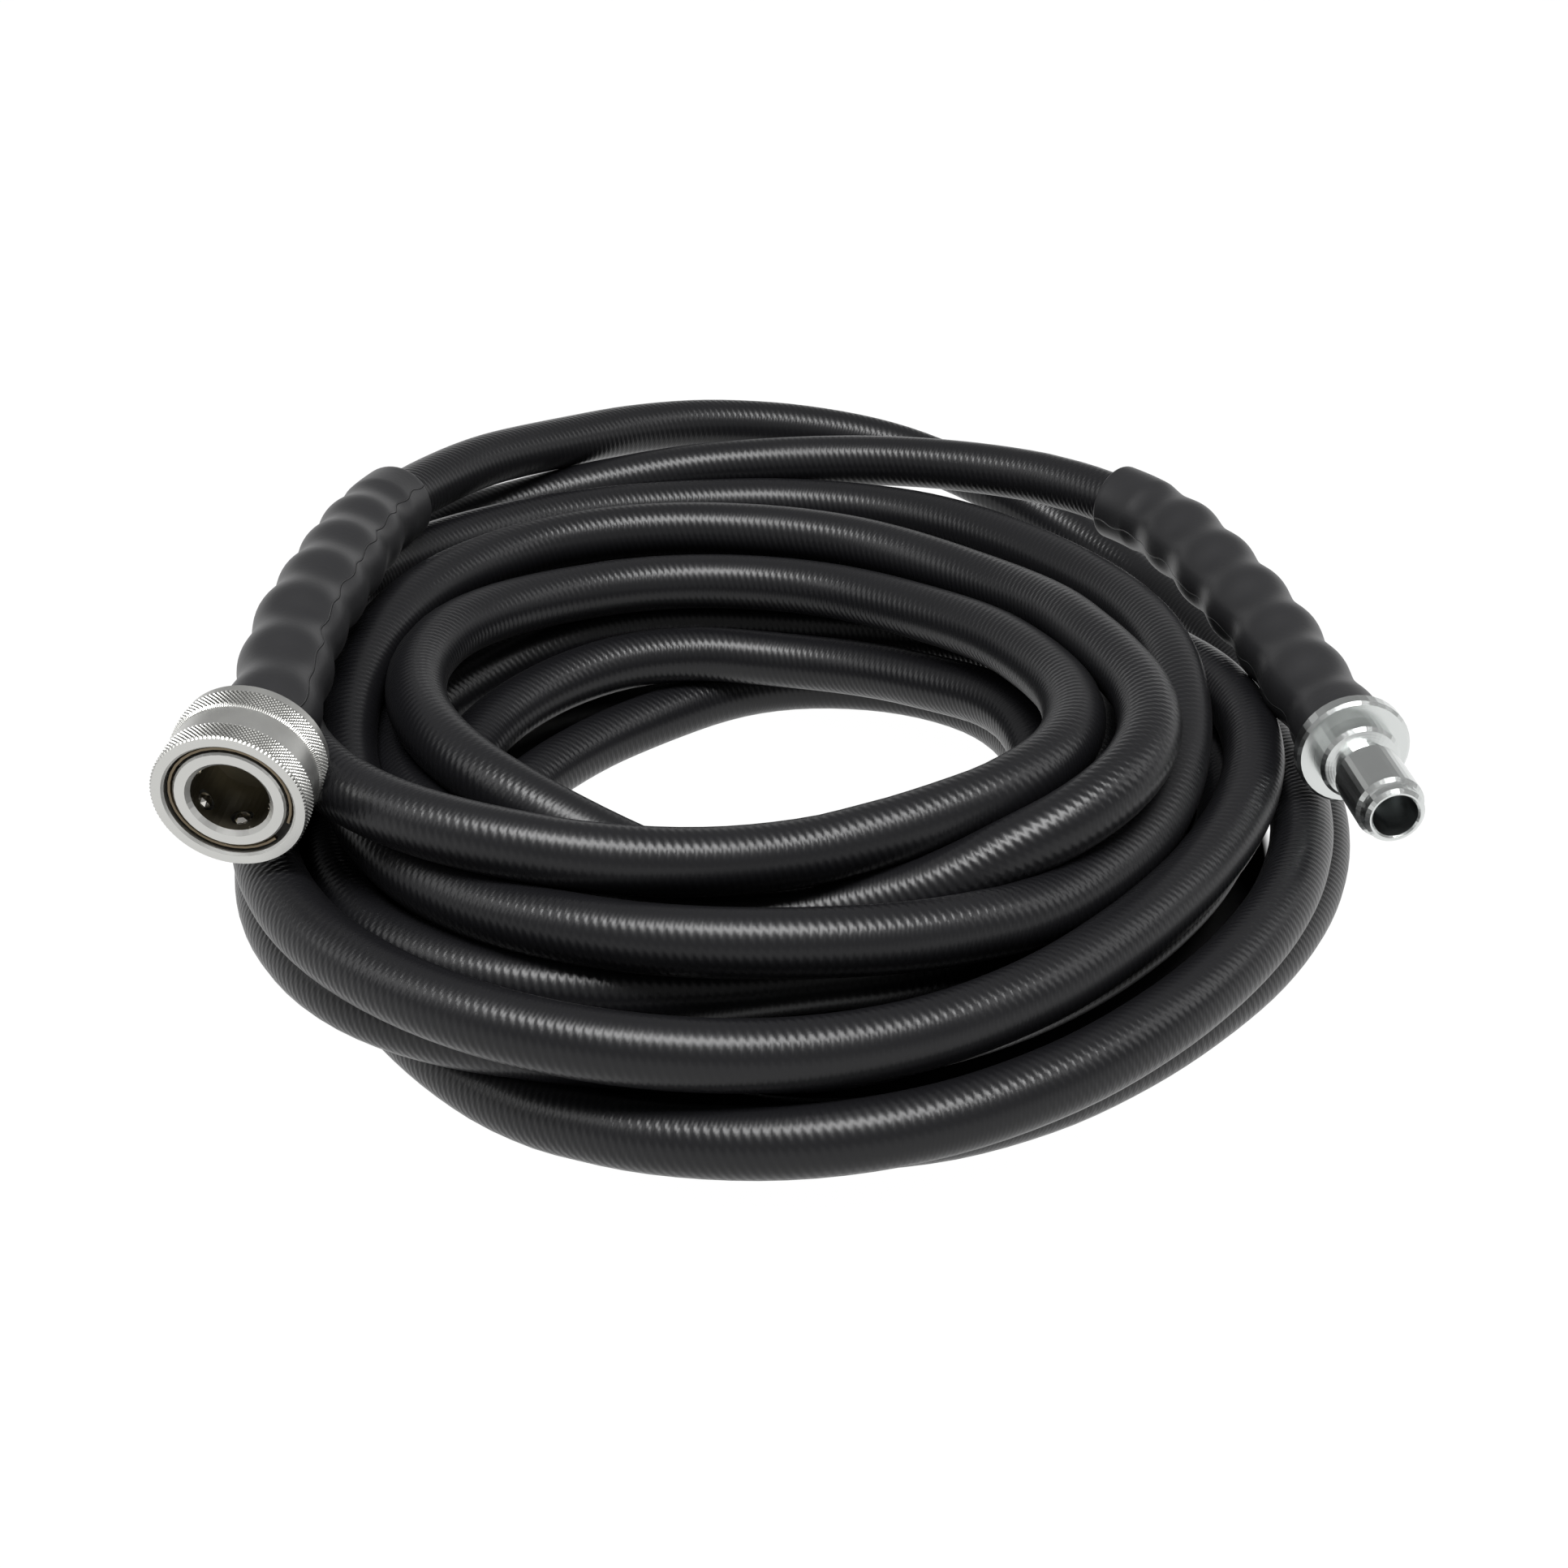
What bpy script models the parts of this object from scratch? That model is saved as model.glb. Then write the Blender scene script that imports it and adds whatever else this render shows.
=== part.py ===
"""Pressure washer hose: a coiled hose with a quick coupler on one end and a quick plug on the other.

Metres, +Z up. The coil's axis stands at the middle of the assembly's own frame, and the whole assembly is
then moved so that its bounding box is centred over the origin, with its underside on the floor.
"""
import math

import bmesh
import bpy
from mathutils import Matrix, Vector

MM = 0.001

# Driving sizes of the hose and its coil
HOSE_DIAMETER = 14.0 * MM
COIL_FLOOR_RADIUS = 9.15 * HOSE_DIAMETER
ROW_RISE = math.sin(math.radians(60)) * HOSE_DIAMETER
COIL_STEPS = 56
ARC_STEP_DEG = 36.0
GAP = 0.3 * MM

# Bend restrictor grips
GRIP_BORE = HOSE_DIAMETER + 2 * GAP
GRIP_WALL = 1.5 * MM
GRIP_RIB_HEIGHT = 1.5 * MM
GRIP_VALLEY_DIAMETER = GRIP_BORE + 2 * GRIP_WALL
GRIP_DIAMETER = GRIP_VALLEY_DIAMETER + 2 * GRIP_RIB_HEIGHT
GRIP_LENGTH = 132.0 * MM
GRIP_RIBS = 7
GRIP_RING_STEPS = 4
GRIP_SIDES = 20

# Quick coupler, measured backward from its front face
SLEEVE_DIAMETER = 32.0 * MM
SLEEVE_WALL = 2.9 * MM
SLEEVE_BORE = SLEEVE_DIAMETER - 2 * SLEEVE_WALL
SLEEVE_LENGTH = 19.0 * MM
SLEEVE_BEVEL = 0.5 * MM
SLEEVE_RIM = 1.2 * MM
SLEEVE_BAND = 4.6 * MM
SLEEVE_WAIST_DEPTH = 0.7 * MM
SLEEVE_TRAVEL = 4.0 * MM
BODY_FACE_SETBACK = 0.6 * MM
BODY_BEVEL = 0.4 * MM
RING_WIRE = 1.0 * MM
RING_CLEARANCE = 0.3 * MM
RING_ROOM = RING_WIRE + 2 * RING_CLEARANCE
BODY_FRONT_DIAMETER = SLEEVE_BORE - 2 * RING_ROOM
LAND_CLEARANCE = 0.5 * MM
BODY_LAND_DIAMETER = SLEEVE_BORE - 2 * LAND_CLEARANCE
BODY_LAND_START = 9.0 * MM
BODY_LAND_END = 17.0 * MM
NECK_STEP = 3.6 * MM
BODY_NECK_DIAMETER = BODY_LAND_DIAMETER - 2 * NECK_STEP
BODY_STUB = 1.0 * MM
BODY_END = SLEEVE_LENGTH + BODY_STUB
BODY_WALL = 3.4 * MM
SOCKET_DIAMETER = BODY_FRONT_DIAMETER - 2 * BODY_WALL
SOCKET_CHAMFER = 0.9 * MM
SOCKET_DEPTH = 16.0 * MM
BALL_REACH = 1.1 * MM
BALL_COVER = 0.5 * MM
BALL_DIAMETER = BODY_WALL + BALL_REACH - BALL_COVER
BALL_COUNT = 6
BALL_SETBACK = 5.6 * MM
RING_SETBACK = 1.6 * MM
RING_GAP_DEG = 24.0
TURNED_STEPS = 40

# Quick plug, measured from its flange's front face: forward to the nose, backward to the grip
PLUG_PLAY = 0.6 * MM
PLUG_NOSE_DIAMETER = SOCKET_DIAMETER - 2 * PLUG_PLAY
PLUG_NOSE_LENGTH = 15.5 * MM
FLANGE_STEP = 5.3 * MM
FLANGE_DIAMETER = PLUG_NOSE_DIAMETER + 2 * FLANGE_STEP
FLANGE_THICKNESS = 3.4 * MM
FLANGE_BEVEL = 0.7 * MM
COLLAR_STEP = 1.5 * MM
PLUG_COLLAR_DIAMETER = PLUG_NOSE_DIAMETER + 2 * COLLAR_STEP
PLUG_COLLAR_LENGTH = 5.0 * MM
GROOVE_DEPTH = 1.5 * MM
PLUG_GROOVE_DIAMETER = PLUG_NOSE_DIAMETER - 2 * GROOVE_DEPTH
PLUG_GROOVE_LENGTH = 4.2 * MM
TIP_DEPTH = 1.0 * MM
PLUG_TIP_DIAMETER = PLUG_NOSE_DIAMETER - 2 * TIP_DEPTH
PLUG_TIP_LENGTH = 3.2 * MM
PLUG_STEP = 1.2 * MM
PLUG_BEVEL = 0.8 * MM
PLUG_WALL = 2.6 * MM
PLUG_BORE = PLUG_NOSE_DIAMETER - 2 * PLUG_WALL
PLUG_BORE_DEPTH = 24.0 * MM
FLOW_STEP = 0.9 * MM
FLOW_BORE = PLUG_BORE - 2 * FLOW_STEP

# The lay, in hose diameters: each place is its angle in degrees about the coil's axis, its distance out
# from the centre of the coil's outer floor turn, and its height
COUPLER_PLACE = (217.1, 0.97, 4.06)
COUPLER_AXIS = Vector((-0.100, -0.988, -0.117)).normalized()
PLUG_ANGLE = 344.7
PLUG_OUT = 0.03
PLUG_AXIS = Vector((0.095, -0.995, 0.003)).normalized()

# The hose's route after each fitting, as far as the coil, in the same way
COUPLER_ROUTE = [
    (194.0, -1.00, 4.44),
    (186.5, -1.24, 4.50),
    (175.3, -1.38, 4.45),
    (165.0, -1.21, 4.35),
    (155.5, -0.86, 4.22),
    (147.2, -0.46, 4.08),
    (138.0, -0.03, 3.95),
    (128.2, 0.47, 3.80),
    (116.2, 1.20, 3.50),
    (106.9, 1.93, 3.27),
    (98.2, 2.40, 3.07),
    (89.0, 2.67, 2.80),
    (80.1, 2.90, 2.40),
    (71.7, 2.92, 1.86),
    (62.5, 2.75, 1.25),
    (52.8, 2.42, 0.80),
    (42.7, 2.02, 0.60),
    (33.2, 1.69, 0.54),
    (22.9, 1.30, 0.53),
    (13.7, 1.01, 0.53),
]
PLUG_ROUTE = [
    (359.3, -0.63, 2.88),
    (8.2, -0.74, 2.95),
    (16.5, -0.76, 3.05),
    (24.4, -0.66, 3.13),
    (31.9, -0.44, 3.20),
    (39.3, -0.14, 3.23),
    (46.5, 0.04, 3.25),
    (56.7, 0.17, 3.25),
    (69.4, 0.20, 3.15),
    (82.7, 0.25, 3.00),
    (98.0, 0.24, 2.85),
    (113.0, 0.46, 2.65),
    (126.5, 0.81, 2.35),
    (138.0, 0.94, 2.00),
    (150.1, 0.88, 1.68),
    (162.7, 0.71, 1.46),
    (174.1, 0.54, 1.36),
]
ROUTE_STEP = 2.4 * HOSE_DIAMETER
STRAIGHT_SHARES = (0.0, 0.5, 1.0)


def clear_scene():
    for old in list(bpy.data.objects):
        bpy.data.objects.remove(old, do_unlink=True)


def material(name, colour, roughness, metallic):
    made = bpy.data.materials.new(name)
    made.use_nodes = True
    shader = made.node_tree.nodes["Principled BSDF"]
    shader.inputs["Base Color"].default_value = (*colour, 1.0)
    shader.inputs["Roughness"].default_value = roughness
    shader.inputs["Metallic"].default_value = metallic
    made.diffuse_color = (*colour, 1.0)
    return made


def add_object(name, data, parent, look):
    made = bpy.data.objects.new(name, data)
    bpy.context.scene.collection.objects.link(made)
    made.parent = parent
    data.materials.append(look)
    return made


def shade_round(piece, angle_deg=35.0):
    """Smooth shading with its sharp edges kept."""
    for face in piece.data.polygons:
        face.use_smooth = True
    piece.data.set_sharp_from_angle(angle=math.radians(angle_deg))


def aim(axis):
    """Rotation that turns +Z to the axis, with +X kept level."""
    side = Vector((0, 0, 1)).cross(axis).normalized()
    up = axis.cross(side)
    return Matrix((side, up, axis)).transposed().to_4x4()


def loop_mesh(name, profile):
    """A closed outline of (radius, height) points in the XZ plane, for the Screw modifier."""
    mesh = bpy.data.meshes.new(name)
    points = [(radius, 0.0, height) for radius, height in profile]
    count = len(points)
    mesh.from_pydata(points, [(i, (i + 1) % count) for i in range(count)], [])
    return mesh


def screw(piece, steps):
    turn = piece.modifiers.new("turn", "SCREW")
    turn.angle = math.tau
    turn.steps = steps
    turn.render_steps = steps
    turn.use_merge_vertices = True
    turn.merge_threshold = 0.00001
    return turn


def settle(piece):
    """Replaces a piece's mesh by the mesh that its modifiers give, facing out."""
    graph = bpy.context.evaluated_depsgraph_get()
    shaped = bpy.data.meshes.new_from_object(piece.evaluated_get(graph))
    piece.modifiers.clear()
    piece.data = shaped
    face_out(shaped)
    shade_round(piece)


def face_out(mesh):
    work = bmesh.new()
    work.from_mesh(mesh)
    bmesh.ops.recalc_face_normals(work, faces=work.faces)
    work.to_mesh(mesh)
    work.free()


def turned(name, profile, parent, look, steps=TURNED_STEPS):
    """A solid turned about its own Z from a closed outline."""
    piece = add_object(name, loop_mesh(name, profile), parent, look)
    screw(piece, steps)
    bpy.context.view_layer.update()
    settle(piece)
    return piece


def section_strands():
    """Centres of the coil's outer strands in section, from the outer floor turn over the top to the inner one."""
    radius = COIL_FLOOR_RADIUS
    step = HOSE_DIAMETER
    half = step / 2
    rows = [half + ROW_RISE * row for row in range(4)]
    return [
        (radius, rows[0]),
        (radius - half, rows[1]),
        (radius - half - step, rows[1]),
        (radius - 2 * step, rows[2]),
        (radius - 2 * step - half, rows[3]),
        (radius - 3 * step, rows[2]),
        (radius - 2 * step - half, rows[1]),
        (radius - 3 * step, rows[0]),
    ]


def strand_arc(centre, start, end):
    """Points of one strand's round side, clockwise from the angle start to the angle end."""
    while end > start:
        end -= math.tau
    count = max(1, round((start - end) / math.radians(ARC_STEP_DEG)))
    reach = HOSE_DIAMETER / 2
    points = []
    for step in range(count + 1):
        angle = start + (end - start) * step / count
        points.append((centre[0] + reach * math.cos(angle), centre[1] + reach * math.sin(angle)))
    return points


def coil_profile():
    """The coil's section: the round sides of its outer strands, and a flat underside."""
    strands = section_strands()[::-1]
    profile = []
    below = -math.pi / 2
    for index, centre in enumerate(strands):
        if index == 0:
            start = below
        else:
            before = strands[index - 1]
            start = math.atan2(before[1] - centre[1], before[0] - centre[0])
        if index == len(strands) - 1:
            end = below
        else:
            after = strands[index + 1]
            end = math.atan2(after[1] - centre[1], after[0] - centre[0])
        arc = strand_arc(centre, start, end)
        profile += arc if index == 0 else arc[1:]
    return profile


def smooth_route(points, step):
    """The straight start behind a fitting, then evenly spaced points along a smooth curve through the others."""
    knots = [Vector(point) for point in points]
    ends = [2 * knots[0] - knots[1], *knots, 2 * knots[-1] - knots[-2]]
    bends_from = len(STRAIGHT_SHARES)
    fine = []
    for index in range(bends_from, len(ends) - 2):
        for part in range(20):
            fine.append(catmull(ends[index - 1:index + 3], part / 20))
    fine.append(knots[-1])
    total = sum((b - a).length for a, b in zip(fine, fine[1:]))
    count = max(2, round(total / step))
    spaced = [fine[0]]
    travelled = 0.0
    for a, b in zip(fine, fine[1:]):
        piece = (b - a).length
        while len(spaced) < count and travelled + piece >= total * len(spaced) / count:
            wanted = total * len(spaced) / count
            spaced.append(a.lerp(b, (wanted - travelled) / piece))
        travelled += piece
    spaced.append(fine[-1])
    return [knots[0], *spaced]


def catmull(four, t):
    a, b, c, d = four
    return 0.5 * (2 * b + (c - a) * t + (2 * a - 5 * b + 4 * c - d) * t * t + (3 * b - 3 * c + d - a) * t ** 3)


def place(angle_deg, out, height):
    """A place of the lay as a point about the coil's axis."""
    angle = math.radians(angle_deg)
    reach = COIL_FLOOR_RADIUS + out * HOSE_DIAMETER
    return Vector((reach * math.cos(angle), reach * math.sin(angle), height * HOSE_DIAMETER))


def coupler_face():
    return place(*COUPLER_PLACE)


def plug_face():
    """The plug's flange lies just over the top of the coil's second row of turns."""
    face = place(PLUG_ANGLE, PLUG_OUT, 0.0)
    face.z = HOSE_DIAMETER + ROW_RISE + GAP + FLANGE_DIAMETER / 2
    return face


def straight_start(face, axis, fitting_end):
    """The hose leaves a fitting straight, for one diameter."""
    starts = [fitting_end + GAP + share * HOSE_DIAMETER for share in STRAIGHT_SHARES]
    return [face - axis * start for start in starts]


def coupler_route():
    return [*straight_start(coupler_face(), COUPLER_AXIS, BODY_END), *(place(*stop) for stop in COUPLER_ROUTE)]


def plug_route():
    return [*straight_start(plug_face(), PLUG_AXIS, FLANGE_THICKNESS), *(place(*stop) for stop in PLUG_ROUTE)]


def hose_tube(name, route, parent, look):
    """The hose's plain tube along an uncoiled stretch."""
    curve = bpy.data.curves.new(name, "CURVE")
    curve.dimensions = "3D"
    curve.bevel_depth = HOSE_DIAMETER / 2
    curve.bevel_resolution = 3
    curve.use_fill_caps = True
    curve.render_resolution_u = 0
    spline = curve.splines.new("POLY")
    points = smooth_route(route, ROUTE_STEP)
    spline.points.add(len(points) - 1)
    for knot, point in zip(spline.points, points):
        knot.co = (*point, 1.0)
    return add_object(name, curve, parent, look)


def grip_outline():
    """The grip's rings from the fitting to the hose: (distance along, radius) of its ribbed outside."""
    crest = GRIP_DIAMETER / 2
    valley = GRIP_VALLEY_DIAMETER / 2
    pitch = GRIP_LENGTH / GRIP_RIBS
    rings = []
    for rib in range(GRIP_RIBS):
        for step in range(GRIP_RING_STEPS):
            share = step / GRIP_RING_STEPS
            hump = math.sin(math.pi * share) ** 0.7
            rings.append(((rib + share) * pitch, valley + (crest - valley) * hump))
    rings.append((GRIP_LENGTH, valley))
    return rings


def along(points, distance):
    """The point and direction at a distance along a line of points."""
    travelled = 0.0
    for a, b in zip(points, points[1:]):
        piece = (b - a).length
        if travelled + piece >= distance:
            return a.lerp(b, (distance - travelled) / piece), (b - a).normalized()
        travelled += piece
    return points[-1], (points[-1] - points[-2]).normalized()


def bore_stops(points):
    """The bore follows the plain tube's own points, so that the gap around the hose is even."""
    stops = [(points[0], (points[1] - points[0]).normalized())]
    travelled = 0.0
    for before, point, after in zip(points, points[1:], points[2:]):
        travelled += (point - before).length
        if travelled > GRIP_LENGTH - HOSE_DIAMETER / 2:
            break
        turn = (point - before).normalized() + (after - point).normalized()
        stops.append((point, turn.normalized()))
    stops.append(along(points, GRIP_LENGTH))
    return stops


def ring_points(work, centre, direction, radius):
    side = Vector((0, 0, 1)).cross(direction).normalized()
    up = direction.cross(side)
    verts = []
    for step in range(GRIP_SIDES):
        angle = math.tau * step / GRIP_SIDES
        verts.append(work.verts.new(centre + radius * (math.cos(angle) * side + math.sin(angle) * up)))
    return verts


def make_grip(name, route, parent, look):
    """A ribbed rubber grip around the hose, bored for it, following the hose's own curve."""
    line = smooth_route(route, HOSE_DIAMETER / 4)
    outside = grip_outline()
    work = bmesh.new()
    rings = []
    for distance, radius in outside:
        centre, direction = along(line, distance)
        rings.append(ring_points(work, centre, direction, radius))
    for centre, direction in reversed(bore_stops(smooth_route(route, ROUTE_STEP))):
        rings.append(ring_points(work, centre, direction, GRIP_BORE / 2))
    for index, ring in enumerate(rings):
        following = rings[(index + 1) % len(rings)]
        for step in range(GRIP_SIDES):
            after = (step + 1) % GRIP_SIDES
            work.faces.new((ring[step], ring[after], following[after], following[step]))
    mesh = bpy.data.meshes.new(name)
    bmesh.ops.recalc_face_normals(work, faces=work.faces)
    work.to_mesh(mesh)
    work.free()
    piece = add_object(name, mesh, parent, look)
    shade_round(piece)
    return piece


def sleeve_profile():
    """Heights run backward from the front face as negative values, because the axis points out of the socket."""
    outer = SLEEVE_DIAMETER / 2
    waist = outer - SLEEVE_WAIST_DEPTH
    bore = SLEEVE_BORE / 2
    bevel = SLEEVE_BEVEL
    band = SLEEVE_RIM + SLEEVE_BAND
    rear = SLEEVE_LENGTH
    return [
        (bore, -rear), (bore, 0.0), (outer - bevel, 0.0), (outer, -bevel), (outer, -SLEEVE_RIM),
        (outer - bevel / 2, -SLEEVE_RIM), (outer - bevel / 2, -band), (waist, -band - bevel),
        (waist, -rear + band + bevel), (outer - bevel / 2, -rear + band), (outer - bevel / 2, -rear + SLEEVE_RIM),
        (outer, -rear + SLEEVE_RIM), (outer, -rear + bevel), (outer - bevel, -rear),
    ]


def body_profile():
    front = -BODY_FACE_SETBACK
    socket = SOCKET_DIAMETER / 2
    outer = BODY_FRONT_DIAMETER / 2
    land = BODY_LAND_DIAMETER / 2
    neck = BODY_NECK_DIAMETER / 2
    flow = FLOW_BORE / 2
    bevel = BODY_BEVEL
    return [
        (flow, -BODY_END), (flow, -SOCKET_DEPTH), (socket, -SOCKET_DEPTH), (socket, front - SOCKET_CHAMFER),
        (socket + SOCKET_CHAMFER, front), (outer - bevel, front), (outer, front - bevel),
        (outer, -BODY_LAND_START), (land, -BODY_LAND_START), (land, -BODY_LAND_END),
        (neck, -BODY_LAND_END), (neck, -BODY_END),
    ]


def ball_places():
    """Each ball's centre in the coupler's own frame, with the angle of its pocket."""
    reach = SOCKET_DIAMETER / 2 - BALL_REACH + BALL_DIAMETER / 2
    for index in range(BALL_COUNT):
        angle = math.tau * (index + 0.5) / BALL_COUNT
        yield Vector((reach * math.cos(angle), reach * math.sin(angle), -BALL_SETBACK)), angle


def make_body(parent, look):
    """The coupler's inner body, with a round pocket through its wall for each ball."""
    body = turned("coupler_body", body_profile(), parent, look)
    cutters = bmesh.new()
    depth = BODY_FRONT_DIAMETER / 2
    for centre, angle in ball_places():
        turn = Matrix.Rotation(angle, 4, "Z") @ Matrix.Translation((depth, 0, -BALL_SETBACK))
        turn = turn @ Matrix.Rotation(math.pi / 2, 4, "Y")
        bmesh.ops.create_cone(cutters, cap_ends=True, segments=16, radius1=BALL_DIAMETER / 2 + GAP,
                              radius2=BALL_DIAMETER / 2 + GAP, depth=depth, matrix=turn)
    mesh = bpy.data.meshes.new("ball_pockets")
    cutters.to_mesh(mesh)
    cutters.free()
    cutter = bpy.data.objects.new("ball_pockets", mesh)
    bpy.context.scene.collection.objects.link(cutter)
    cutter.parent = parent
    cutter.hide_render = True
    cutter.display_type = "WIRE"
    cut = body.modifiers.new("ball pockets", "BOOLEAN")
    cut.operation = "DIFFERENCE"
    cut.object = cutter
    bpy.context.view_layer.update()
    settle(body)
    bpy.data.objects.remove(cutter, do_unlink=True)
    return body


def make_balls(parent, look):
    for index, (centre, _) in enumerate(ball_places(), start=1):
        work = bmesh.new()
        bmesh.ops.create_icosphere(work, subdivisions=2, radius=BALL_DIAMETER / 2)
        mesh = bpy.data.meshes.new(f"coupler_ball_{index}")
        work.to_mesh(mesh)
        work.free()
        ball = add_object(f"coupler_ball_{index}", mesh, parent, look)
        ball.location = centre
        shade_round(ball, 60.0)


def make_snap_ring(parent, look):
    """The open wire ring that lies in the gap between the body's front and the sleeve."""
    mid = (BODY_FRONT_DIAMETER + SLEEVE_BORE) / 4
    opening = math.radians(RING_GAP_DEG)
    middle = math.radians(-38.0)
    steps = 30
    curve = bpy.data.curves.new("coupler_snap_ring", "CURVE")
    curve.dimensions = "3D"
    curve.bevel_depth = RING_WIRE / 2
    curve.bevel_resolution = 1
    curve.use_fill_caps = True
    curve.render_resolution_u = 0
    spline = curve.splines.new("POLY")
    spline.points.add(steps)
    for step, knot in enumerate(spline.points):
        angle = middle + opening / 2 + (math.tau - opening) * step / steps
        knot.co = (mid * math.cos(angle), mid * math.sin(angle), -RING_SETBACK, 1.0)
    return add_object("coupler_snap_ring", curve, parent, look)


def plug_profile():
    """Heights run forward from the flange's front face, along the plug's axis."""
    bore = PLUG_BORE / 2
    flow = FLOW_BORE / 2
    flange = FLANGE_DIAMETER / 2
    collar = PLUG_COLLAR_DIAMETER / 2
    groove = PLUG_GROOVE_DIAMETER / 2
    nose = PLUG_NOSE_DIAMETER / 2
    tip = PLUG_TIP_DIAMETER / 2
    bevel = PLUG_BEVEL
    collar_end = PLUG_COLLAR_LENGTH
    groove_end = collar_end + PLUG_GROOVE_LENGTH
    nose_end = groove_end + PLUG_NOSE_LENGTH
    tip_end = nose_end + PLUG_TIP_LENGTH
    return [
        (flow, -FLANGE_THICKNESS), (flow, tip_end - PLUG_BORE_DEPTH), (bore, tip_end - PLUG_BORE_DEPTH),
        (bore, tip_end - bevel / 2), (bore + bevel / 2, tip_end), (tip - bevel, tip_end), (tip, tip_end - bevel),
        (tip, nose_end + PLUG_STEP / 2), (nose - bevel, nose_end), (nose, nose_end - bevel),
        (nose, groove_end + bevel), (nose - bevel, groove_end), (groove, groove_end - bevel),
        (groove, collar_end + bevel), (collar - bevel, collar_end), (collar, collar_end - bevel), (collar, 0.0),
        (flange - FLANGE_BEVEL, 0.0), (flange, -FLANGE_BEVEL), (flange, -FLANGE_THICKNESS),
    ]


def place_fitting(name, position, axis, parent):
    holder = bpy.data.objects.new(name, None)
    bpy.context.scene.collection.objects.link(holder)
    holder.parent = parent
    holder.matrix_local = Matrix.Translation(position) @ aim(axis)
    return holder


def centre_on_floor(root):
    """Moves the assembly so that its box is centred over the origin and stands on the floor."""
    bpy.context.view_layer.update()
    graph = bpy.context.evaluated_depsgraph_get()
    lows = Vector((math.inf,) * 3)
    highs = Vector((-math.inf,) * 3)
    for piece in bpy.context.scene.objects:
        if piece.type == "EMPTY":
            continue
        shaped = piece.evaluated_get(graph)
        mesh = shaped.to_mesh()
        for vert in mesh.vertices:
            point = shaped.matrix_world @ vert.co
            lows = Vector(min(a, b) for a, b in zip(lows, point))
            highs = Vector(max(a, b) for a, b in zip(highs, point))
        shaped.to_mesh_clear()
    root.location = (-(lows.x + highs.x) / 2, -(lows.y + highs.y) / 2, -lows.z)
    bpy.context.view_layer.update()


def main():
    clear_scene()
    hose_look = material("hose_rubber", (0.020, 0.020, 0.022), 0.42, 0.0)
    grip_look = material("grip_rubber", (0.035, 0.035, 0.037), 0.62, 0.0)
    zinc_look = material("zinc_plate", (0.72, 0.73, 0.72), 0.26, 1.0)
    ring_look = material("spring_wire", (0.42, 0.36, 0.28), 0.35, 1.0)

    root = bpy.data.objects.new("hose_assembly", None)
    bpy.context.scene.collection.objects.link(root)

    turned("hose_coil", coil_profile(), root, hose_look, COIL_STEPS)
    hose_tube("hose_lead_coupler", coupler_route(), root, hose_look)
    hose_tube("hose_lead_plug", plug_route(), root, hose_look)
    make_grip("grip_coupler", coupler_route(), root, grip_look)
    make_grip("grip_plug", plug_route(), root, grip_look)

    coupler = place_fitting("coupler", coupler_face(), COUPLER_AXIS, root)
    make_body(coupler, zinc_look)
    turned("coupler_sleeve", sleeve_profile(), coupler, zinc_look)
    make_snap_ring(coupler, ring_look)
    make_balls(coupler, zinc_look)

    plug = place_fitting("plug", plug_face(), PLUG_AXIS, root)
    turned("quick_plug", plug_profile(), plug, zinc_look)

    centre_on_floor(root)


main()
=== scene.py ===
"""Looks of the coiled pressure washer hose, its two grips, its quick coupler and its quick plug."""

import math

import bpy
import numpy as np
from mathutils import Matrix, Vector


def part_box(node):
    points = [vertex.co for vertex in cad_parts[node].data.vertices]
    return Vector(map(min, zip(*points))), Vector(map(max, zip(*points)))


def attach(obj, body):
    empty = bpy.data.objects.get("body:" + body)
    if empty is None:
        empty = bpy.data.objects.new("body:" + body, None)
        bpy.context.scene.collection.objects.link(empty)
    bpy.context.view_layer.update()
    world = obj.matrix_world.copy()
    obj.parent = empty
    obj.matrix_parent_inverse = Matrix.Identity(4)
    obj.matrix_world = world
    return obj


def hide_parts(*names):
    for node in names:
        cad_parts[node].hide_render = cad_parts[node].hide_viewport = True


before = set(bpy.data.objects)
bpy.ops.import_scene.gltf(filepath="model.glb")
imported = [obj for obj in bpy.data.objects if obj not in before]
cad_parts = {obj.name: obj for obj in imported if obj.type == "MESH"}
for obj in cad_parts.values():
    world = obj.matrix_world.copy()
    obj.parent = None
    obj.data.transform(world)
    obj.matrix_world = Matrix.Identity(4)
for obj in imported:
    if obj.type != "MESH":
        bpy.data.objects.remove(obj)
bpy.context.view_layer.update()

MM = 0.001

# The hose
HOSE_DIAMETER = 14.0 * MM
HOSE_SIDES = 24
COIL_FLOOR_RADIUS = 9.15
FITTING_GAP = 0.3 * MM

# The hose's rubber: the ribs of its imprint and how many climb around it, the finer ribs that cross them, the
# patches where the imprint is fainter, and smudges in its shine
HOSE_COLOUR = (0.0050, 0.0050, 0.0058)
HOSE_SPECULAR = 0.32
HOSE_ROUGHNESS = 0.28
IMPRINT_PITCH = 1.8 * MM
IMPRINT_TURNS = -9.0
IMPRINT_DEPTH = 0.075 * MM
FINE_PITCH = 0.9 * MM
FINE_SHARE = 0.25
PATCH_SCALE = 45.0
PATCH_LEAST = 0.35
SMUDGE_SCALE = 30.0
SMUDGE_ROUGHNESS = 0.12

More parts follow.
